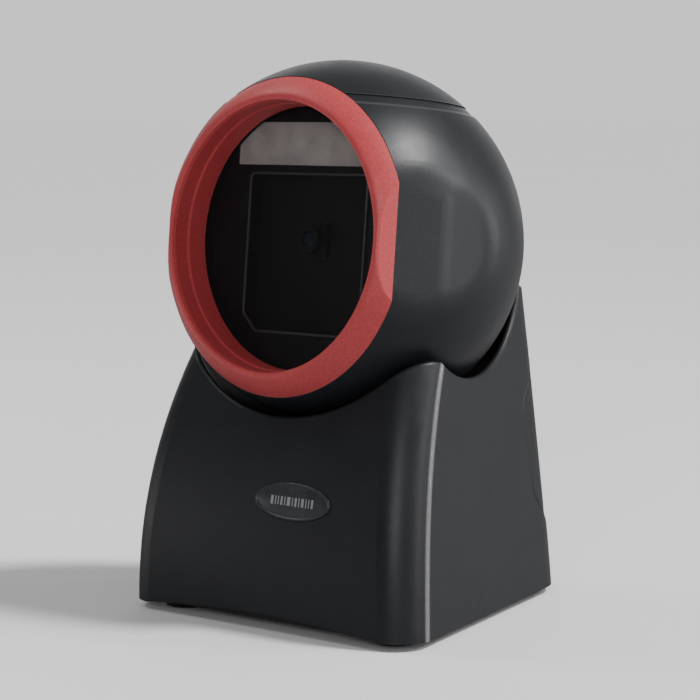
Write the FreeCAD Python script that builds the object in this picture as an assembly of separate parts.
import FreeCAD, Part
import math
import os
from FreeCAD import Vector

# A desktop ball-head barcode scanner: a ball with a round scan window in a red bezel, which tilts in
# the spherical socket of a weighted base.  Millimetres, +Z up, the window faces -Y.
# The origin is at the middle of the footprint, on the surface that the feet stand on.

os.makedirs("parts", exist_ok=True)

# ---------------------------------------------------------------- driving dimensions
BALL_R = 49.0            # outside radius of the scan head
BALL_Z = 101.0           # height of the ball's centre
BASE_FRONT = 34.0        # foot of the base, ahead of the ball's centre
BASE_REAR = 68.5         # foot of the base, behind the ball's centre
BALL_Y = (BASE_FRONT - BASE_REAR) / 2.0
REST_TILT = 5.4          # degrees that the window looks upwards at rest
TILT_DOWN = 10.0         # degrees that the head nods down from rest
TILT_UP = 20.0           # degrees that the head leans back from rest

HEAD_WALL = 2.4
BEZEL_D = 24.55          # distance from the ball's centre to the bezel's seat
CAP_Z = 37.9             # height of the cap's seam above the ball's centre
GROOVE_Z = 35.5          # lower edge of the shadow groove below the cap
GROOVE_DEPTH = 0.3

SOCKET_R = 51.4          # spherical cavity in the base
BOWL_WALL = 2.0
BASE_TOP = 88.0
BASE_BOTTOM = 2.0        # the shell's lower edge, above the ground
BASE_WALL = 2.5
REAR_WALL = 4.6
SIDE_ANGLE = 15.4        # each side closes in by this angle towards the rear
FRONT_CORNER_R = 9.0
REAR_CORNER_R = 18.0
HALF_WIDTH = 50.2        # half width at the front corners, at the foot
CREASE_SETBACK = 10.0    # the corner crease lies this far behind the front wall
ARCH_R = 400.0           # the front wall's lower edge is a shallow arch
ARCH_RISE = 2.2
RIM_R = 1.0              # rounding of the rim around the ball and of the horn's top

NECK_ANGLE = 15.0        # the neck leans back from the vertical
NECK_HALF_X = 8.0
NECK_HALF_Y = 4.5
EYE_R = 7.0
SHAFT_R = 3.0
SHAFT_CLEARANCE = 0.05

BALL = Vector(0, BALL_Y, BALL_Z)
X_AXIS = Vector(1, 0, 0)
Y_AXIS = Vector(0, 1, 0)
Z_AXIS = Vector(0, 0, 1)
ORIGIN = Vector(0, 0, 0)


# ---------------------------------------------------------------- helpers
def save(node, shape):
    shape.exportStep(os.path.join("parts", node + ".step"))


def box(x0, x1, y0, y1, z0, z1):
    return Part.makeBox(x1 - x0, y1 - y0, z1 - z0, Vector(x0, y0, z0))


def cylinder(radius, start, end):
    path = end - start
    return Part.makeCylinder(radius, path.Length, start, path)


def ring(outer, inner, start, end):
    return cylinder(outer, start, end).cut(cylinder(inner, start, end))


def fuse(shapes):
    joined = shapes[0]
    for shape in shapes[1:]:
        joined = joined.fuse(shape)
    return joined.removeSplitter()


def prism(points, height):
    """A straight prism over a closed polygon."""
    return Part.Face(Part.makePolygon(points + [points[0]])).extrude(height)


def round_box(x0, x1, y0, y1, z0, z1, radius, axis):
    """A box whose four edges along the given axis are rounded."""
    shape = box(x0, x1, y0, y1, z0, z1)
    edges = [e for e in shape.Edges if abs(e.tangentAt(e.FirstParameter).dot(axis)) > 0.99]
    return shape.makeFillet(radius, edges)


def screw(head_r, head_h, shank_r, length, seat, direction):
    """A screw with a flat round head and a hexagon recess; it points along direction from its seat."""
    head = cylinder(head_r, seat, seat - direction * head_h)
    shank = cylinder(shank_r, seat, seat + direction * length)
    socket_r = head_r * 0.45
    side = X_AXIS if abs(direction.x) < 0.9 else Y_AXIS
    up = direction.cross(side)
    corners = []
    for i in range(6):
        turn = math.radians(60 * i)
        offset = side * (socket_r * math.cos(turn)) + up * (socket_r * math.sin(turn))
        corners.append(seat - direction * (head_h + 0.1) + offset)
    recess = prism(corners, direction * (head_h * 0.6 + 0.1))
    return head.fuse(shank).removeSplitter().cut(recess)


def bent_cable(points, radius):
    """A round cable along straight runs, with each corner rounded as widely as its runs allow."""
    edges = []
    last = points[0]
    for before, corner, after in zip(points, points[1:], points[2:]):
        back = before - corner
        ahead = after - corner
        turn = math.pi - back.getAngle(ahead)
        reach = 0.45 * min(back.Length, ahead.Length)
        bend_r = reach / math.tan(turn / 2.0)
        start = corner + back * (reach / back.Length)
        end = corner + ahead * (reach / ahead.Length)
        inward = back * (1 / back.Length) + ahead * (1 / ahead.Length)
        inward.normalize()
        centre = corner + inward * (bend_r / math.cos(turn / 2.0))
        middle = centre - inward * bend_r
        print("cable bend radius %.1f mm" % bend_r)
        edges.append(Part.LineSegment(last, start).toShape())
        edges.append(Part.Arc(start, middle, end).toShape())
        last = end
    edges.append(Part.LineSegment(last, points[-1]).toShape())
    path = Part.Wire(edges)
    direction = points[1] - points[0]
    profile = Part.Wire(Part.makeCircle(radius, points[0], direction))
    return path.makePipeShell([profile], True, True)


# ---------------------------------------------------------------- base form
def rise(z):
    return (z - BASE_BOTTOM) / 70.0


def front_at(z):
    """The front wall leans back, faster towards the top."""
    return BASE_FRONT - 15.3 * max(rise(z), 0.0) ** 2.28


def half_width_at(z):
    return HALF_WIDTH - 7.7 * max(rise(z), 0.0) ** 1.8


def rear_at(z):
    return BASE_REAR - 11.6 * rise(z)


def base_section(z, inset, rear_inset=0.0):
    """The base's outline at one height: front wall, creased corners, sides that close in, round rear."""
    front = -front_at(z) + BALL_Y
    crease_x = half_width_at(z)
    crease_y = front + CREASE_SETBACK
    phi = math.asin((CREASE_SETBACK - FRONT_CORNER_R) / FRONT_CORNER_R)
    centre = Vector(crease_x - FRONT_CORNER_R * math.cos(phi), front + FRONT_CORNER_R, z)
    angle = math.radians(SIDE_ANGLE)
    normal = Vector(math.cos(angle), math.sin(angle), 0)
    along = Vector(-math.sin(angle), math.cos(angle), 0)
    on_side = Vector(crease_x, crease_y, z) - normal * inset
    # where the inset side line meets the inset corner arc
    q = on_side - centre
    half_b = q.dot(along)
    gap = half_b * half_b - q.dot(q) + (FRONT_CORNER_R - inset) ** 2
    crease = on_side + along * (-half_b + math.copysign(math.sqrt(gap), half_b))
    start = Vector(centre.x, front + inset, z)
    corner_mid = (start - centre) + (crease - centre)
    corner_mid = centre + corner_mid * ((FRONT_CORNER_R - inset) / corner_mid.Length)
    rear_line = rear_at(z) + BALL_Y - rear_inset
    rear_cy = rear_line - REAR_CORNER_R
    side_x = crease_x - (rear_cy - crease_y) * math.tan(angle)
    rear_centre = Vector(side_x - REAR_CORNER_R / math.cos(angle), rear_cy, z)
    rear_r = REAR_CORNER_R - inset
    turn_in = rear_centre + normal * rear_r
    turn_out = rear_centre + Y_AXIS * rear_r
    half = (math.pi / 2 + angle) / 2
    turn_mid = rear_centre + Vector(math.cos(half), math.sin(half), 0) * rear_r
    right = [start, corner_mid, crease, turn_in, turn_mid, turn_out]
    left = [Vector(-p.x, p.y, p.z) for p in right]
    edges = [
        Part.LineSegment(left[0], right[0]).toShape(),
        Part.Arc(right[0], right[1], right[2]).toShape(),
        Part.LineSegment(right[2], right[3]).toShape(),
        Part.Arc(right[3], right[4], right[5]).toShape(),
        Part.LineSegment(right[5], left[5]).toShape(),
        Part.Arc(left[5], left[4], left[3]).toShape(),
        Part.LineSegment(left[3], left[2]).toShape(),
        Part.Arc(left[2], left[1], left[0]).toShape(),
    ]
    return Part.Wire(edges)


def base_form(z0, z1, inset, rear_inset=None):
    """The base's outline carried from one height to another."""
    steps = 6
    wires = []
    for i in range(steps + 1):
        z = z0 + (z1 - z0) * i / steps
        extra = rear_inset(z) if rear_inset else 0.0
        wires.append(base_section(z, inset, extra))
    return Part.makeLoft(wires, True, False)


def base_room(gap):
    """The space inside the base shell, less a gap; its rear wall is thicker than its sides."""
    split_y = BALL_Y + 30.0
    low = BASE_BOTTOM - 3.0
    ahead = base_form(low, BASE_TOP - BASE_WALL, BASE_WALL + gap)
    ahead = ahead.common(box(-80, 80, -90, split_y, low - 1, BASE_TOP))
    whole = base_form(low, BASE_TOP - BASE_WALL, REAR_WALL + gap)
    return ahead.fuse(whole).removeSplitter()


# ---------------------------------------------------------------- base parts
COVER_HALF_X = 29.8
COVER_Z0 = 10.5
COVER_Z1 = 74.5
COVER_CORNER_R = 22.0
COVER_DEPTH = 2.8
COVER_GAP = 0.25
BADGE_HALF_X = 13.2
BADGE_HALF_Z = 5.0
BADGE_X = 10.2           # the badge sits to the right of the middle
BADGE_Z = 34.5
BADGE_T = 1.6
BADGE_PROUD = 0.35
JACK_HALF_X = 7.5
JACK_Z0 = 14.0
JACK_HEIGHT = 13.0
JACK_MOUTH_Y = BALL_Y + 63.4
JACK_DEPTH = 17.0
BOARD_Z = 12.4
BOARD_T = 1.6
PLATE_Z0 = 2.3
PLATE_T = 2.5
PLATE_TOP = PLATE_Z0 + PLATE_T
BALLAST_T = 6.0
FOOT_T = 3.0
BOSS_POINTS = [
    Vector(38.6, BALL_Y - 2.0, 0), Vector(-38.6, BALL_Y - 2.0, 0),
    Vector(24.6, BALL_Y + 39.0, 0), Vector(-24.6, BALL_Y + 39.0, 0),
]
BOSS_R = 4.2
BASE_SCREW_R = 1.5
RUBBER_POINTS = [
    Vector(38.0, BALL_Y - 22.0, 0), Vector(-38.0, BALL_Y - 22.0, 0),
    Vector(16.0, BALL_Y + 55.0, 0), Vector(-16.0, BALL_Y + 55.0, 0),
]
RUBBER_R = 6.0
RUBBER_RECESS = 0.8


def cover_window(margin):
    """A rounded rectangle carried through the rear of the base."""
    radius = COVER_CORNER_R - margin
    return round_box(-COVER_HALF_X + margin, COVER_HALF_X - margin, BALL_Y + 22, BALL_Y + 90,
                     COVER_Z0 + margin, COVER_Z1 - margin, radius, Y_AXIS)


def cover_lean(z):
    """The cover sinks in towards its lower end, so that the foot of the shell stands proud of it."""
    share = (COVER_Z1 - z) / (COVER_Z1 - COVER_Z0)
    return 1.3 * min(max(share, 0.0), 1.0)


def at_height(point, z):
    return Vector(point.x, point.y, z)


def rounded_block(outer, socket):
    """The solid base with its rim rounded, where the outside meets the ball's cavity and the flat top."""
    block = outer.cut(socket)
    walls = Part.makeCompound([f for f in outer.Faces if f.BoundBox.ZLength > 1.0])
    rim = []
    for edge in block.Edges:
        middle = edge.valueAt((edge.FirstParameter + edge.LastParameter) / 2)
        on_cavity = abs((middle - BALL).Length - SOCKET_R) < 0.01
        on_wall = walls.distToShape(Part.Vertex(middle))[0] < 0.01
        on_top = edge.BoundBox.ZMin > BASE_TOP - 0.01
        if on_top or (on_cavity and on_wall):
            rim.append(edge)
    return block.makeFillet(RIM_R, rim)


def base_shell(outer, room, socket):
    bosses = [cylinder(BOSS_R, at_height(p, PLATE_TOP), at_height(p, 30.0)) for p in BOSS_POINTS]
    bosses = [b.common(outer) for b in bosses]
    shell = fuse([rounded_block(outer, socket).cut(room)] + bosses)
    recess = cover_window(0.0).cut(base_form(0.0, BASE_TOP + 2, COVER_DEPTH))
    shell = shell.cut(recess)
    doorway = round_box(-14, 14, BALL_Y + 40, BALL_Y + 80, 13.2, 66, 1, Y_AXIS)
    shell = shell.cut(doorway)
    for p in BOSS_POINTS:
        shell = shell.cut(cylinder(BASE_SCREW_R, at_height(p, PLATE_TOP - 1), at_height(p, 17.0)))
    # the front wall's lower edge is arched
    arch_z = BASE_BOTTOM + ARCH_RISE - ARCH_R
    arch = cylinder(ARCH_R, Vector(0, -80, arch_z), Vector(0, 80, arch_z))
    front_only = box(-60, 60, -60, BALL_Y - BASE_FRONT + 8, -2, 8)
    shell = shell.cut(arch.common(front_only))
    return shell.cut(badge_form(0.1))


def badge_form(margin):
    """An oval plate set into the front wall, leaning with it."""
    half_x = BADGE_HALF_X + margin
    half_z = BADGE_HALF_Z + margin
    z = BADGE_Z
    wall = BALL_Y - front_at(z)
    lean = math.atan((front_at(z - 5) - front_at(z + 5)) / 10.0)
    oval = Part.Ellipse(ORIGIN, half_x, half_z).toShape()
    plate = Part.Face(Part.Wire(oval)).extrude(Vector(0, 0, BADGE_T))
    plate.rotate(ORIGIN, X_AXIS, 90 - math.degrees(lean))
    plate.translate(Vector(BADGE_X, wall + BADGE_T - BADGE_PROUD, z))
    return plate


def rear_cover(socket):
    outside = base_form(BASE_BOTTOM, BASE_TOP, 0.0, cover_lean)
    backing = base_form(0.0, BASE_TOP + 2, COVER_DEPTH)
    cover = outside.cut(backing).common(cover_window(COVER_GAP))
    rear_half = box(-60, 60, BALL_Y + 25, 90, 0, 100)
    cover = cover.common(rear_half)
    # four snap hooks that reach through the doorway and catch behind its edges
    for x in (-11.0, 11.0):
        lower = box(x - 2, x + 2, BALL_Y + 59.4, BALL_Y + 64.4, 13.7, 15.5)
        lower_lip = box(x - 2, x + 2, BALL_Y + 59.4, BALL_Y + 61.2, 12.0, 14.0)
        upper = box(x - 2, x + 2, BALL_Y + 50.6, BALL_Y + 56.4, 63.6, 65.5)
        upper_lip = box(x - 2, x + 2, BALL_Y + 50.6, BALL_Y + 52.6, 65.0, 67.4)
        cover = fuse([cover, lower, lower_lip, upper, upper_lip])
    mouth = round_box(-JACK_HALF_X - 0.5, JACK_HALF_X + 0.5, BALL_Y + 40, BALL_Y + 80,
                      JACK_Z0 - 0.5, JACK_Z0 + JACK_HEIGHT + 0.5, 1.0, Y_AXIS)
    return cover.cut(mouth).cut(socket)


def socket_bowl(room, socket, neck_hole):
    """The dish that the ball turns in, seated against the inside of the shell."""
    outside = Part.makeSphere(SOCKET_R + BOWL_WALL, BALL)
    return outside.cut(socket).common(room).cut(neck_hole)


def bottom_plate(room):
    plate = room.common(box(-80, 80, -90, 90, PLATE_Z0, PLATE_TOP))
    posts = []
    for x in (-13.0, 13.0):
        for y in (44.5, 56.0):
            p = Vector(x, BALL_Y + y, 0)
            posts.append(cylinder(2.5, at_height(p, PLATE_TOP), at_height(p, BOARD_Z)))
    plate = fuse([plate] + posts)
    for post in posts:
        c = post.CenterOfMass
        plate = plate.cut(cylinder(1.25, at_height(c, BOARD_Z - 5), at_height(c, BOARD_Z + 1)))
    for p in BOSS_POINTS:
        plate = plate.cut(cylinder(BASE_SCREW_R, at_height(p, 0), at_height(p, 10)))
        plate = plate.cut(cylinder(3.0, at_height(p, 0), at_height(p, PLATE_Z0 + 1.2)))
    for p in RUBBER_POINTS:
        plate = plate.cut(cylinder(RUBBER_R, at_height(p, 0), at_height(p, PLATE_Z0 + RUBBER_RECESS)))
    return plate


def base_screws():
    shapes = [screw(2.7, 1.1, BASE_SCREW_R, 12.0, at_height(p, PLATE_Z0 + 1.2), Z_AXIS) for p in BOSS_POINTS]
    return Part.makeCompound(shapes)


def rubber_feet():
    feet = []
    for p in RUBBER_POINTS:
        foot = cylinder(RUBBER_R, at_height(p, 0), at_height(p, PLATE_Z0 + RUBBER_RECESS))
        lower = [e for e in foot.Edges if e.BoundBox.ZMax < 0.1]
        feet.append(foot.makeFillet(0.8, lower))
    return Part.makeCompound(feet)


BALLAST_HALF_X = 27.0
BALLAST_Y0 = BALL_Y - 20.0
BALLAST_Y1 = BALL_Y + 33.0
FOOT_HALF_X = 20.0
FOOT_Y = BALL_Y + 20.0
FOOT_HALF_Y = 12.5
POST_SCREWS = [Vector(x, FOOT_Y + y, 0) for x in (-15.5, 15.5) for y in (-8.0, 8.0)]
POST_SCREW_R = 2.0


def ballast_plate():
    plate = round_box(-BALLAST_HALF_X, BALLAST_HALF_X, BALLAST_Y0, BALLAST_Y1,
                      PLATE_TOP, PLATE_TOP + BALLAST_T, 4.0, Z_AXIS)
    for p in POST_SCREWS:
        plate = plate.cut(cylinder(POST_SCREW_R, at_height(p, PLATE_TOP), at_height(p, 30)))
    return plate


NECK_DOWN = Vector(0, math.sin(math.radians(NECK_ANGLE)), -math.cos(math.radians(NECK_ANGLE)))
NECK_BACK = Vector(0, math.cos(math.radians(NECK_ANGLE)), math.sin(math.radians(NECK_ANGLE)))
FOOT_BOTTOM = PLATE_TOP + BALLAST_T
CABLE_R = 2.0
GROOVE_R = 2.2


def neck_blank(half_x, half_y, near, far):
    """A straight bar along the neck's axis, between two distances below the ball's centre."""
    bar = round_box(-half_x, half_x, -half_y, half_y, -far, -near, 1.5, Z_AXIS)
    bar.rotate(ORIGIN, X_AXIS, NECK_ANGLE)
    bar.translate(BALL)
    return bar


def pivot_post():
    """Cast stalk: a foot on the ballast, a neck with a cable groove, and the eye of the tilt hinge."""
    foot = round_box(-FOOT_HALF_X, FOOT_HALF_X, FOOT_Y - FOOT_HALF_Y, FOOT_Y + FOOT_HALF_Y,
                     FOOT_BOTTOM, FOOT_BOTTOM + FOOT_T, 3.0, Z_AXIS)
    neck = neck_blank(NECK_HALF_X, NECK_HALF_Y, 0.0, 95.0)
    neck = neck.common(box(-30, 30, -90, 90, FOOT_BOTTOM + 1, 200))
    eye = cylinder(EYE_R, BALL - X_AXIS * NECK_HALF_X, BALL + X_AXIS * NECK_HALF_X)
    post = fuse([foot, neck, eye])
    bore = cylinder(SHAFT_R + SHAFT_CLEARANCE, BALL - X_AXIS * 20, BALL + X_AXIS * 20)
    groove_at = BALL + NECK_BACK * (NECK_HALF_Y - GROOVE_R)
    groove = cylinder(GROOVE_R, groove_at + NECK_DOWN * 13, groove_at + NECK_DOWN * 86)
    slit = round_box(-GROOVE_R, GROOVE_R, NECK_HALF_Y - GROOVE_R, NECK_HALF_Y + 3, -86, -13, 0.2, Z_AXIS)
    slit.rotate(ORIGIN, X_AXIS, NECK_ANGLE)
    slit.translate(BALL)
    post = post.cut(bore).cut(groove).cut(slit)
    for p in POST_SCREWS:
        post = post.cut(cylinder(POST_SCREW_R, at_height(p, 0), at_height(p, 30)))
    return post


def post_screws():
    shapes = [screw(3.5, 2.2, POST_SCREW_R, FOOT_T + BALLAST_T, at_height(p, FOOT_BOTTOM + FOOT_T), Z_AXIS * -1)
              for p in POST_SCREWS]
    return Part.makeCompound(shapes)


BOARD_TOP = BOARD_Z + BOARD_T
HEADER_Y0 = BALL_Y + 39.0


def interface_board(room):
    board = box(-21, 21, BALL_Y + 38.5, BALL_Y + 58.5, BOARD_Z, BOARD_TOP).common(room)
    for x in (-13.0, 13.0):
        for y in (44.5, 56.0):
            p = Vector(x, BALL_Y + y, 0)
            board = board.cut(cylinder(1.25, at_height(p, 0), at_height(p, 30)))
    for p in BOSS_POINTS:
        board = board.cut(cylinder(BOSS_R + 0.4, at_height(p, 0), at_height(p, 30)))
    return board


def interface_screws():
    shapes = []
    for x in (-13.0, 13.0):
        for y in (44.5, 56.0):
            p = Vector(x, BALL_Y + y, BOARD_TOP)
            shapes.append(screw(2.3, 1.3, 1.25, 5.0, p, Z_AXIS * -1))
    return Part.makeCompound(shapes)


def cable_socket():
    """A ten-way modular jack; its mouth opens to the rear and its latch slot is below."""
    back = JACK_MOUTH_Y - JACK_DEPTH
    top = JACK_Z0 + JACK_HEIGHT
    shell = box(-JACK_HALF_X, JACK_HALF_X, back, JACK_MOUTH_Y, JACK_Z0, top)
    cavity = box(-5.95, 5.95, back + 3.0, JACK_MOUTH_Y + 1, JACK_Z0 + 3.2, top - 1.6)
    latch = box(-3.1, 3.1, back + 6.0, JACK_MOUTH_Y + 1, JACK_Z0 + 1.2, JACK_Z0 + 4.0)
    return shell.cut(cavity).cut(latch)


def socket_contacts():
    """Ten spring contacts that slope down from the roof of the jack."""
    contacts = []
    back = JACK_MOUTH_Y - JACK_DEPTH
    roof = JACK_Z0 + JACK_HEIGHT - 1.6
    for i in range(10):
        x = (i - 4.5) * 1.02
        side = [
            Vector(x - 0.2, back + 13.5, roof), Vector(x - 0.2, back + 13.5, roof - 0.35),
            Vector(x - 0.2, back + 6.0, roof - 2.2), Vector(x - 0.2, back + 5.4, roof - 2.2),
            Vector(x - 0.2, back + 12.6, roof),
        ]
        contacts.append(prism(side, X_AXIS * 0.4))
    return Part.makeCompound(contacts)


def beeper():
    p = Vector(-14.6, BALL_Y + 50.3, 0)
    can = cylinder(5.6, at_height(p, BOARD_TOP + 1.4), at_height(p, BOARD_TOP + 8.5))
    rim = [e for e in can.Edges if e.BoundBox.ZMin > BOARD_TOP + 8.4]
    can = can.makeFillet(0.6, rim)
    can = can.cut(cylinder(1.0, at_height(p, BOARD_TOP + 5), at_height(p, BOARD_TOP + 10)))
    collar = cylinder(3.4, at_height(p, BOARD_TOP), at_height(p, BOARD_TOP + 1.4))
    return can.fuse(collar).removeSplitter()


CABLE_END = Vector(0, HEADER_Y0 + 1.0, BOARD_TOP + 4.0)


def board_header():
    """The plug socket on the interface board that the internal cable runs into."""
    body = box(-7.0, 7.0, HEADER_Y0 + 1.0, HEADER_Y0 + 6.5, BOARD_TOP, BOARD_TOP + 7.0)
    return body.cut(box(-5.6, 5.6, HEADER_Y0 + 2.2, HEADER_Y0 + 5.3, BOARD_TOP + 3.0, BOARD_TOP + 8))


def neck_cable():
    lane = BALL + NECK_BACK * (NECK_HALF_Y - GROOVE_R)
    start = lane + NECK_DOWN * 16
    corner = lane + NECK_DOWN * 79
    return bent_cable([start, corner, CABLE_END], CABLE_R)


# ---------------------------------------------------------------- head, in its own frame
# The head's frame has its origin at the ball's centre and looks along -Y; tilt_head sets it in place.
POCKET_SEAT = Vector(39.5, -BEZEL_D, 0)     # where the finger flat meets the bezel
POCKET_RIDGE = Vector(45.5, -11.5, 0)       # soft vertical ridge behind the flat
POCKET_END = Vector(49.0, 3.0, 0)
POCKET_REACH = 30.0
POCKET_BLEND_R = 20.0
SPLIT_Y = 0.0


def tilt_head(shape):
    placed = shape.copy()
    placed.rotate(ORIGIN, X_AXIS, -REST_TILT)
    placed.translate(BALL)
    return placed


def save_head(node, shape):
    save(node, tilt_head(shape))


def corner_arc(before, corner, after, radius):
    """The two ends and the middle of an arc that rounds the corner between two straight runs."""
    back = before - corner
    ahead = after - corner
    half_turn = (math.pi - back.getAngle(ahead)) / 2.0
    back.normalize()
    ahead.normalize()
    inward = back + ahead
    inward.normalize()
    reach = radius * math.tan(half_turn)
    middle = corner + inward * (radius / math.cos(half_turn) - radius)
    return corner + back * reach, middle, corner + ahead * reach


def pocket_cutters(inset):
    """Upright prisms that shave the two finger flats off the ball's sides; the ridge between is rounded."""
    slope = (POCKET_RIDGE.x - POCKET_SEAT.x) / (POCKET_RIDGE.y - POCKET_SEAT.y)
    ahead = POCKET_SEAT.x - slope * 12
    outline = [
        Vector(ahead - inset, POCKET_SEAT.y - 12, 0), Vector(POCKET_RIDGE.x - inset, POCKET_RIDGE.y, 0),
        Vector(POCKET_END.x - inset, POCKET_END.y, 0), Vector(70, POCKET_END.y, 0),
        Vector(70, POCKET_SEAT.y - 12, 0),
    ]
    cutters = []
    for side in (1, -1):
        points = [Vector(side * p.x, p.y, -POCKET_REACH) for p in outline]
        start, middle, end = corner_arc(points[0], points[1], points[2], POCKET_BLEND_R)
        ridge = Part.Arc(start, middle, end).toShape()
        rest = Part.makePolygon([end] + points[2:] + [points[0], start])
        cutters.append(Part.Face(Part.Wire([ridge] + rest.Edges)).extrude(Z_AXIS * (2 * POCKET_REACH)))
    return cutters


def ball_form(radius, inset):
    """A sphere with the finger flats shaved off."""
    form = Part.makeSphere(radius)
    for cutter in pocket_cutters(inset):
        form = form.cut(cutter)
    return form


def soft_ball():
    """The outside of the ball, with the outline of each finger flat blended into the sphere."""
    form = ball_form(BALL_R, 0.0)
    seams = []
    for edge in form.Edges:
        middle = edge.valueAt((edge.FirstParameter + edge.LastParameter) / 2)
        if abs(middle.x) > 20 and middle.y < 20 and abs(middle.Length - BALL_R) < 0.01:
            seams.append(edge)
    return form.makeFillet(POCKET_BLEND_R, seams)


def angled(x, y, z, degrees):
    """A point turned about the head's Y axis."""
    a = math.radians(degrees)
    return Vector(x * math.cos(a) - z * math.sin(a), y, x * math.sin(a) + z * math.cos(a))


CHASSIS_BOSS_R = 40.2
CHASSIS_ANGLES = (45, 135, 225, 315)
CHASSIS_FRONT = -15.0
CHASSIS_T = 1.8
SHELL_BOSS_R = 41.2
SHELL_ANGLES = (32, 148, 212, 328)


def radial_boss(r0, width, y0, y1, degrees):
    """A block from radius r0 out into the shell's wall, turned about the Y axis."""
    block = box(r0, BALL_R, y0, y1, -width / 2, width / 2)
    block.rotate(ORIGIN, Y_AXIS, -degrees)
    return block


def swing_slot():
    """The gap in the ball's underside that the neck passes through, over the whole tilt."""
    half = math.degrees(math.asin(NECK_HALF_Y / (BALL_R - HEAD_WALL))) + 1.0
    first = NECK_ANGLE + REST_TILT - TILT_DOWN - half
    last = NECK_ANGLE + REST_TILT + TILT_UP + half
    half_x = NECK_HALF_X + 0.6
    face = Part.Face(Part.makePolygon([
        Vector(-half_x, 0, -35), Vector(half_x, 0, -35), Vector(half_x, 0, -55),
        Vector(-half_x, 0, -55), Vector(-half_x, 0, -35)]))
    face.rotate(ORIGIN, X_AXIS, first)
    return face.revolve(ORIGIN, X_AXIS, last - first)


def head_wall():
    """The whole hollow ball, open at the window and below the cap."""
    outside = soft_ball()
    inside = ball_form(BALL_R - HEAD_WALL, HEAD_WALL)
    wall = outside.cut(inside)
    wall = wall.cut(box(-60, 60, -60, -BEZEL_D, -60, 60))
    return wall


def head_shells(wall):
    shell = wall.cut(box(-60, 60, -60, 60, CAP_Z, 60))
    band = box(-60, 60, -60, 60, GROOVE_Z, CAP_Z)
    shell = shell.cut(band.cut(Part.makeSphere(BALL_R - GROOVE_DEPTH)))
    shell = shell.cut(swing_slot())
    ball_inside = ball_form(BALL_R - 1.2, 1.2)
    front = shell.common(box(-60, 60, -60, SPLIT_Y, -60, 60))
    rear = shell.common(box(-60, 60, SPLIT_Y, 60, -60, 60))
    front_bosses = []
    rear_bosses = []
    for degrees in CHASSIS_ANGLES:
        front_bosses.append(radial_boss(38.2, 6.4, CHASSIS_FRONT + CHASSIS_T, -4.0, degrees).common(ball_inside))
    for degrees in SHELL_ANGLES:
        front_bosses.append(radial_boss(38.0, 6.4, SPLIT_Y - 7.0, SPLIT_Y, degrees).common(ball_inside))
        rear_bosses.append(radial_boss(38.0, 6.4, SPLIT_Y, SPLIT_Y + 9.0, degrees).common(ball_inside))
    for x, z in CARRIER_POINTS:
        post = cylinder(3.4, Vector(x, PLATE_BACK_Y, z), Vector(x, 60, z))
        rear_bosses.append(post.common(ball_inside))
    front = fuse([front] + front_bosses)
    rear = fuse([rear] + rear_bosses)
    for degrees in CHASSIS_ANGLES:
        start = angled(CHASSIS_BOSS_R, -20, 0, degrees)
        front = front.cut(cylinder(1.1, start, start + Y_AXIS * 14))
    for degrees in SHELL_ANGLES:
        start = angled(SHELL_BOSS_R, -8, 0, degrees)
        front = front.cut(cylinder(1.25, start, start + Y_AXIS * 15))
        rear = rear.cut(cylinder(1.25, start, start + Y_AXIS * 15))
    for x, z in CARRIER_POINTS:
        rear = rear.cut(cylinder(1.25, Vector(x, PLATE_BACK_Y - 1, z), Vector(x, PLATE_BACK_Y + 7, z)))
    return front, rear


def top_cap(wall):
    """The cap above the groove, with a locating skirt that hangs inside the shells."""
    cap = wall.common(box(-60, 60, -60, 60, CAP_Z, 60))
    seat_r = math.sqrt((BALL_R - HEAD_WALL) ** 2 - CAP_Z ** 2)
    skirt = ring(seat_r - 0.3, seat_r - 1.9, Vector(0, 0, CAP_Z - 3.5), Vector(0, 0, CAP_Z + 6))
    skirt = skirt.common(Part.makeSphere(BALL_R - 1.2)).common(box(-60, 60, -14, 60, 0, 60))
    return fuse([cap, skirt])


BEZEL_PROFILE = [          # radius, distance ahead of the ball's centre
    (42.24, 24.55), (40.6, 26.6), (38.7, 28.3), (36.6, 29.25), (35.9, 29.1), (35.6, 28.2),
    (35.5, 23.9), (35.2, 23.2), (35.1, 17.2), (39.0, 17.2), (39.0, 24.55),
]
CROWN_R = 37.0             # the crown is highest just inside this radius
BEZEL_FLAT_R = 1.0         # rounding where the finger flats cut the crown
WINDOW_R = 37.4
WINDOW_T = 1.6
WINDOW_FRONT = -17.2


def bezel_ring():
    """The red ring: a domed face outside, a two-step bore inside and a skirt that holds the window."""
    points = [Vector(r, -d, 0) for r, d in BEZEL_PROFILE]
    crown = Part.BSplineCurve()
    crown.interpolate(points[0:5])
    edges = [crown.toShape()]
    for first, second in zip(points[4:], points[5:] + [points[0]]):
        edges.append(Part.LineSegment(first, second).toShape())
    bezel = Part.Face(Part.Wire(edges)).revolve(ORIGIN, Y_AXIS, 360)
    for cutter in pocket_cutters(0.0):
        bezel = bezel.cut(cutter)
    flats = []
    for edge in bezel.Edges:
        middle = edge.valueAt((edge.FirstParameter + edge.LastParameter) / 2)
        if abs(middle.x) > CROWN_R and middle.y < -BEZEL_D - 2.0:
            flats.append(edge)
    bezel = bezel.makeFillet(BEZEL_FLAT_R, flats)
    for side in (1, -1):
        x0, x1 = sorted((side * 36.7, side * 60))
        bezel = bezel.cut(box(x0, x1, -BEZEL_D, -10, -60, 60))
    return bezel


def scan_window():
    disc = cylinder(WINDOW_R, Vector(0, WINDOW_FRONT, 0), Vector(0, WINDOW_FRONT + WINDOW_T, 0))
    return disc.common(box(-36.6, 36.6, -60, 60, -60, 60))


def window_gasket():
    gasket = ring(WINDOW_R, WINDOW_R - 1.6, Vector(0, CHASSIS_FRONT - 0.6, 0), Vector(0, CHASSIS_FRONT, 0))
    return gasket


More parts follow.
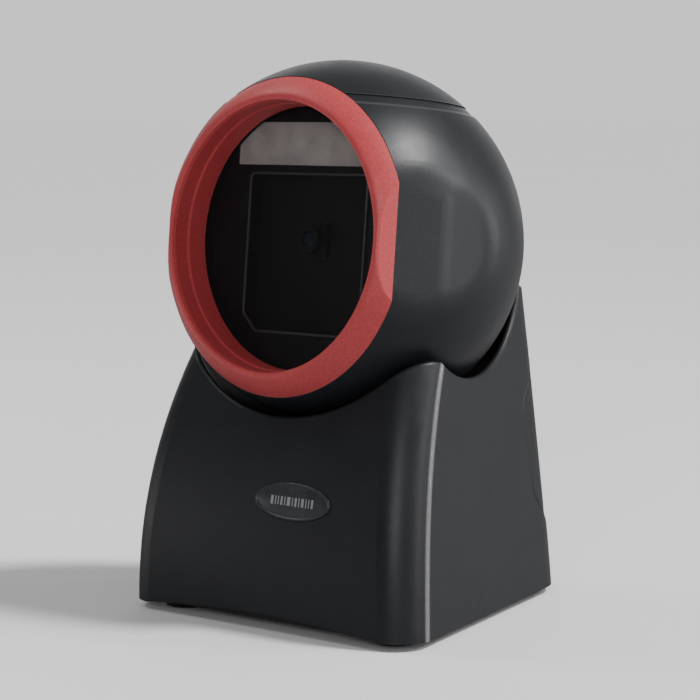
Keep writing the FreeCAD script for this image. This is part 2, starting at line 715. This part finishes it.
STRIP_HALF_X = 26.0
STRIP_Z0 = 19.5
STRIP_Z1 = 31.2
STRIP_CUT_X = 5.3
STRIP_CUT_Z = 4.3
WELL_HALF_X = 20.6
WELL_Z0 = -25.0
WELL_Z1 = 17.0
WELL_CUT = 4.6
WELL_FLOOR = -10.6
WELL_FLOOR_T = 1.0
WELL_WALL = 1.2


def strip_outline(margin, y):
    x = STRIP_HALF_X - margin
    top = STRIP_Z1 - margin
    low = STRIP_Z0 + margin
    return [Vector(-x, y, low), Vector(x, y, low), Vector(x, y, top - STRIP_CUT_Z),
            Vector(x - STRIP_CUT_X, y, top), Vector(-x + STRIP_CUT_X, y, top),
            Vector(-x, y, top - STRIP_CUT_Z)]


def well_outline(margin, y):
    x = WELL_HALF_X - margin
    top = WELL_Z1 - margin
    low = WELL_Z0 + margin
    return [Vector(-x + WELL_CUT, y, low), Vector(x - WELL_CUT, y, low), Vector(x, y, low + WELL_CUT),
            Vector(x, y, top), Vector(-x, y, top), Vector(-x, y, low + WELL_CUT)]


def optics_chassis():
    """The black frame behind the window: a slot for the light strip above, the camera's well below."""
    back = CHASSIS_FRONT + CHASSIS_T
    plate = cylinder(38.6, Vector(0, CHASSIS_FRONT, 0), Vector(0, back, 0))
    for degrees in CHASSIS_ANGLES:
        centre = angled(CHASSIS_BOSS_R, CHASSIS_FRONT, 0, degrees)
        plate = plate.fuse(cylinder(2.6, centre, centre + Y_AXIS * CHASSIS_T))
    well = prism(well_outline(-WELL_WALL, back), Y_AXIS * (WELL_FLOOR + WELL_FLOOR_T - back))
    chassis = fuse([plate, well])
    hollow = prism(well_outline(0.0, CHASSIS_FRONT), Y_AXIS * (WELL_FLOOR - CHASSIS_FRONT))
    chassis = chassis.cut(hollow)
    chassis = chassis.cut(prism(strip_outline(0.0, CHASSIS_FRONT), Y_AXIS * 10))
    chassis = chassis.cut(box(-4.9, 4.9, -20, 0, -4.9, 4.9))
    for degrees in CHASSIS_ANGLES:
        start = angled(CHASSIS_BOSS_R, -20, 0, degrees)
        chassis = chassis.cut(cylinder(1.1, start, start + Y_AXIS * 14))
    return chassis


def chassis_screws():
    shapes = []
    for degrees in CHASSIS_ANGLES:
        shapes.append(screw(1.9, 0.9, 1.1, 7.0, angled(CHASSIS_BOSS_R, CHASSIS_FRONT, 0, degrees), Y_AXIS))
    return Part.makeCompound(shapes)


def led_diffuser():
    """The frosted bar that spreads the light of the lamps behind it."""
    return prism(strip_outline(0.1, CHASSIS_FRONT), Y_AXIS * 2.2)


LED_BOARD_Y = -10.4


def led_board():
    return prism(strip_outline(0.6, LED_BOARD_Y), Y_AXIS * 1.2)


def illumination_leds():
    middle = (STRIP_Z0 + STRIP_Z1) / 2
    shapes = []
    for i in range(6):
        x = (i - 2.5) * 8.0
        body = box(x - 1.7, x + 1.7, LED_BOARD_Y - 0.9, LED_BOARD_Y, middle - 1.7, middle + 1.7)
        dome = Part.makeSphere(1.3, Vector(x, LED_BOARD_Y - 0.9, middle))
        shapes.append(fuse([body, dome.common(box(x - 2, x + 2, LED_BOARD_Y - 3, LED_BOARD_Y, 10, 40))]))
    return Part.makeCompound(shapes)


IMAGER_Y = WELL_FLOOR + WELL_FLOOR_T


def imager_board():
    return box(-15, 15, IMAGER_Y, IMAGER_Y + 1.0, -11, 11)


def image_sensor():
    return box(-3.0, 3.0, IMAGER_Y - 0.7, IMAGER_Y, -2.4, 2.4)


def lens_holder():
    """The square mount over the sensor, with the round barrel of the lens in front."""
    block = box(-4.7, 4.7, IMAGER_Y - 2.2, IMAGER_Y, -4.7, 4.7)
    barrel = cylinder(3.6, Vector(0, IMAGER_Y - 4.6, 0), Vector(0, IMAGER_Y - 2.2, 0))
    holder = fuse([block, barrel])
    holder = holder.cut(box(-3.2, 3.2, IMAGER_Y - 1.4, IMAGER_Y, -2.6, 2.6))
    return holder.cut(cylinder(2.3, Vector(0, IMAGER_Y - 5, 0), Vector(0, IMAGER_Y - 1.4, 0)))


def imaging_lens():
    tube = cylinder(2.3, Vector(0, IMAGER_Y - 4.5, 0), Vector(0, IMAGER_Y - 1.6, 0))
    dome = Part.makeSphere(4.2, Vector(0, IMAGER_Y - 0.6, 0))
    return tube.common(dome)


CARRIER_ARM_X0 = NECK_HALF_X + 1.0
CARRIER_ARM_X1 = CARRIER_ARM_X0 + 4.0
SHELF_Z0 = 9.5
SHELF_Z1 = 12.0
PLATE_BACK_Y = 30.5
PLATE_FRONT_Y = 28.0
CARRIER_POINTS = [(x, z) for x in (-17.0, 17.0) for z in (-4.0, 7.0)]
BOARD_POINTS = [(x, y) for x in (-17.0, 17.0) for y in (2.0, 24.0)]
DECODER_Z = 20.0


def pivot_carrier():
    """The bracket that hangs the head on the hinge: two arms, a shelf and a plate on the rear shell."""
    shelf = box(-20.5, 20.5, -2.0, PLATE_BACK_Y, SHELF_Z0, SHELF_Z1)
    plate = box(-20.5, 20.5, PLATE_FRONT_Y, PLATE_BACK_Y, -8.0, SHELF_Z1)
    parts = [shelf, plate]
    for side in (1, -1):
        x0, x1 = sorted((side * CARRIER_ARM_X0, side * CARRIER_ARM_X1))
        parts.append(cylinder(7.5, Vector(x0, 0, 0), Vector(x1, 0, 0)))
        parts.append(box(x0, x1, -2.0, PLATE_BACK_Y, 0, SHELF_Z1))
    carrier = fuse(parts)
    carrier = carrier.cut(cylinder(SHAFT_R, Vector(-20, 0, 0), Vector(20, 0, 0)))
    for x, z in CARRIER_POINTS:
        carrier = carrier.cut(cylinder(1.25, Vector(x, 20, z), Vector(x, 40, z)))
    for x, y in BOARD_POINTS:
        carrier = carrier.cut(cylinder(1.25, Vector(x, y, SHELF_Z0 - 1), Vector(x, y, SHELF_Z1 + 1)))
    return carrier


def carrier_screws():
    shapes = [screw(2.4, 1.6, 1.25, PLATE_BACK_Y - PLATE_FRONT_Y + 6, Vector(x, PLATE_FRONT_Y, z), Y_AXIS)
              for x, z in CARRIER_POINTS]
    return Part.makeCompound(shapes)


def shell_screws():
    shapes = [screw(2.3, 1.5, 1.25, 13.0, angled(SHELL_BOSS_R, SPLIT_Y - 7.0, 0, degrees), Y_AXIS)
              for degrees in SHELL_ANGLES]
    return Part.makeCompound(shapes)


def pivot_shaft():
    """The hinge pin: a flat head on one side, a nut thread on the other."""
    head = cylinder(5.2, Vector(-CARRIER_ARM_X1 - 2.2, 0, 0), Vector(-CARRIER_ARM_X1, 0, 0))
    pin = cylinder(SHAFT_R, Vector(-CARRIER_ARM_X1, 0, 0), Vector(CARRIER_ARM_X1 + 6.6, 0, 0))
    slot = box(-CARRIER_ARM_X1 - 3, -CARRIER_ARM_X1 - 1.2, -6, 6, -0.6, 0.6)
    return fuse([head, pin]).cut(slot)


def friction_washers():
    shapes = []
    for side in (1, -1):
        a, b = sorted((side * NECK_HALF_X, side * CARRIER_ARM_X0))
        shapes.append(ring(6.8, SHAFT_R + 0.1, Vector(a, 0, 0), Vector(b, 0, 0)))
    return Part.makeCompound(shapes)


def spring_washer():
    """A coned disc that keeps the hinge tight."""
    x0 = CARRIER_ARM_X1
    profile = [Vector(x0, 5.6, 0), Vector(x0 + 0.7, 5.6, 0), Vector(x0 + 1.5, SHAFT_R + 0.1, 0),
               Vector(x0 + 0.8, SHAFT_R + 0.1, 0)]
    return Part.Face(Part.makePolygon(profile + [profile[0]])).revolve(ORIGIN, X_AXIS, 360)


def shaft_nut():
    x0 = CARRIER_ARM_X1 + 1.5
    corners = [Vector(x0, 5.6 * math.cos(math.radians(60 * i)), 5.6 * math.sin(math.radians(60 * i)))
               for i in range(6)]
    nut = prism(corners, X_AXIS * 4.0)
    return nut.cut(cylinder(SHAFT_R, Vector(x0 - 1, 0, 0), Vector(x0 + 6, 0, 0)))


def decoder_board():
    board = box(-21.5, 21.5, -5.0, 30.0, DECODER_Z, DECODER_Z + 1.6)
    for x, y in BOARD_POINTS:
        board = board.cut(cylinder(1.25, Vector(x, y, 10), Vector(x, y, 30)))
    return board


def board_standoffs():
    shapes = [ring(2.6, 1.25, Vector(x, y, SHELF_Z1), Vector(x, y, DECODER_Z)) for x, y in BOARD_POINTS]
    return Part.makeCompound(shapes)


def board_screws():
    shapes = []
    for x, y in BOARD_POINTS:
        shapes.append(screw(2.3, 1.3, 1.25, 6.0, Vector(x, y, DECODER_Z + 1.6), Z_AXIS * -1))
        shapes.append(screw(2.3, 1.2, 1.25, SHELF_Z1 - SHELF_Z0 + 2.0, Vector(x, y, SHELF_Z0), Z_AXIS))
    return Part.makeCompound(shapes)


def decoder_chips():
    top = DECODER_Z + 1.6
    return Part.makeCompound([
        box(-7, 7, 3, 17, top, top + 1.3),
        box(-6, 6, 20, 27, top, top + 1.1),
        box(9.5, 14.5, 8, 18, top, top + 1.0),
    ])


def board_plug():
    """The plug on the underside of the decoder board, for the ribbon from the camera."""
    return box(-8, 8, -3.5, 1.5, DECODER_Z - 4.5, DECODER_Z)


def flex_ribbons():
    """Flat leads: from the camera board up to the plug, and from the lamp board to the decoder board."""
    t = 0.35
    top = DECODER_Z + 1.6
    camera = [
        Vector(-6, IMAGER_Y + 1.0, 9.0), Vector(-6, IMAGER_Y + 1.0, 10.5),
        Vector(-6, -3.5, DECODER_Z - 1.6), Vector(-6, -3.5, DECODER_Z - 1.6 - 2 * t),
    ]
    lamp_back = LED_BOARD_Y + 1.2
    lamps = [
        Vector(-5, lamp_back, 24.6), Vector(-5, lamp_back, 23.4), Vector(-5, -6.5, 22.6),
        Vector(-5, -5.0, top), Vector(-5, -1.5, top), Vector(-5, -1.5, top + t),
        Vector(-5, -4.8, top + t), Vector(-5, -6.3, 22.6 + 2 * t),
    ]
    return Part.makeCompound([prism(camera, X_AXIS * 12), prism(lamps, X_AXIS * 10)])


# ---------------------------------------------------------------- build the base
outer_form = base_form(BASE_BOTTOM, BASE_TOP, 0.0)
inner_room = base_room(0.0)
fitted_room = base_room(0.3)
socket_ball = Part.makeSphere(SOCKET_R, BALL)
neck_hole = neck_blank(NECK_HALF_X + 0.8, NECK_HALF_Y + 0.8, 40.0, 70.0)

save("base_shell", base_shell(outer_form, inner_room, socket_ball))
save("rear_cover", rear_cover(socket_ball))
save("socket_bowl", socket_bowl(inner_room, socket_ball, neck_hole))
save("bottom_plate", bottom_plate(fitted_room))
save("base_screws", base_screws())
save("rubber_feet", rubber_feet())
save("ballast_plate", ballast_plate())
save("pivot_post", pivot_post())
save("post_screws", post_screws())
save("front_badge", badge_form(0.0))
save("interface_board", interface_board(fitted_room))
save("interface_screws", interface_screws())
save("cable_socket", cable_socket())
save("socket_contacts", socket_contacts())
save("beeper", beeper())
save("board_header", board_header())
save("neck_cable", neck_cable())

# ---------------------------------------------------------------- build the head
ball_wall = head_wall()
front_shell, rear_shell = head_shells(ball_wall)
save_head("head_front_shell", front_shell)
save_head("head_rear_shell", rear_shell)
save_head("top_cap", top_cap(ball_wall))
save_head("bezel_ring", bezel_ring())
save_head("scan_window", scan_window())
save_head("window_gasket", window_gasket())
save_head("optics_chassis", optics_chassis())
save_head("chassis_screws", chassis_screws())
save_head("led_diffuser", led_diffuser())
save_head("led_board", led_board())
save_head("illumination_leds", illumination_leds())
save_head("imager_board", imager_board())
save_head("image_sensor", image_sensor())
save_head("lens_holder", lens_holder())
save_head("imaging_lens", imaging_lens())
save_head("pivot_carrier", pivot_carrier())
save_head("carrier_screws", carrier_screws())
save_head("shell_screws", shell_screws())
save_head("pivot_shaft", pivot_shaft())
save_head("friction_washers", friction_washers())
save_head("spring_washer", spring_washer())
save_head("shaft_nut", shaft_nut())
save_head("decoder_board", decoder_board())
save_head("decoder_chips", decoder_chips())
save_head("board_standoffs", board_standoffs())
save_head("board_screws", board_screws())
save_head("board_plug", board_plug())
save_head("flex_ribbons", flex_ribbons())
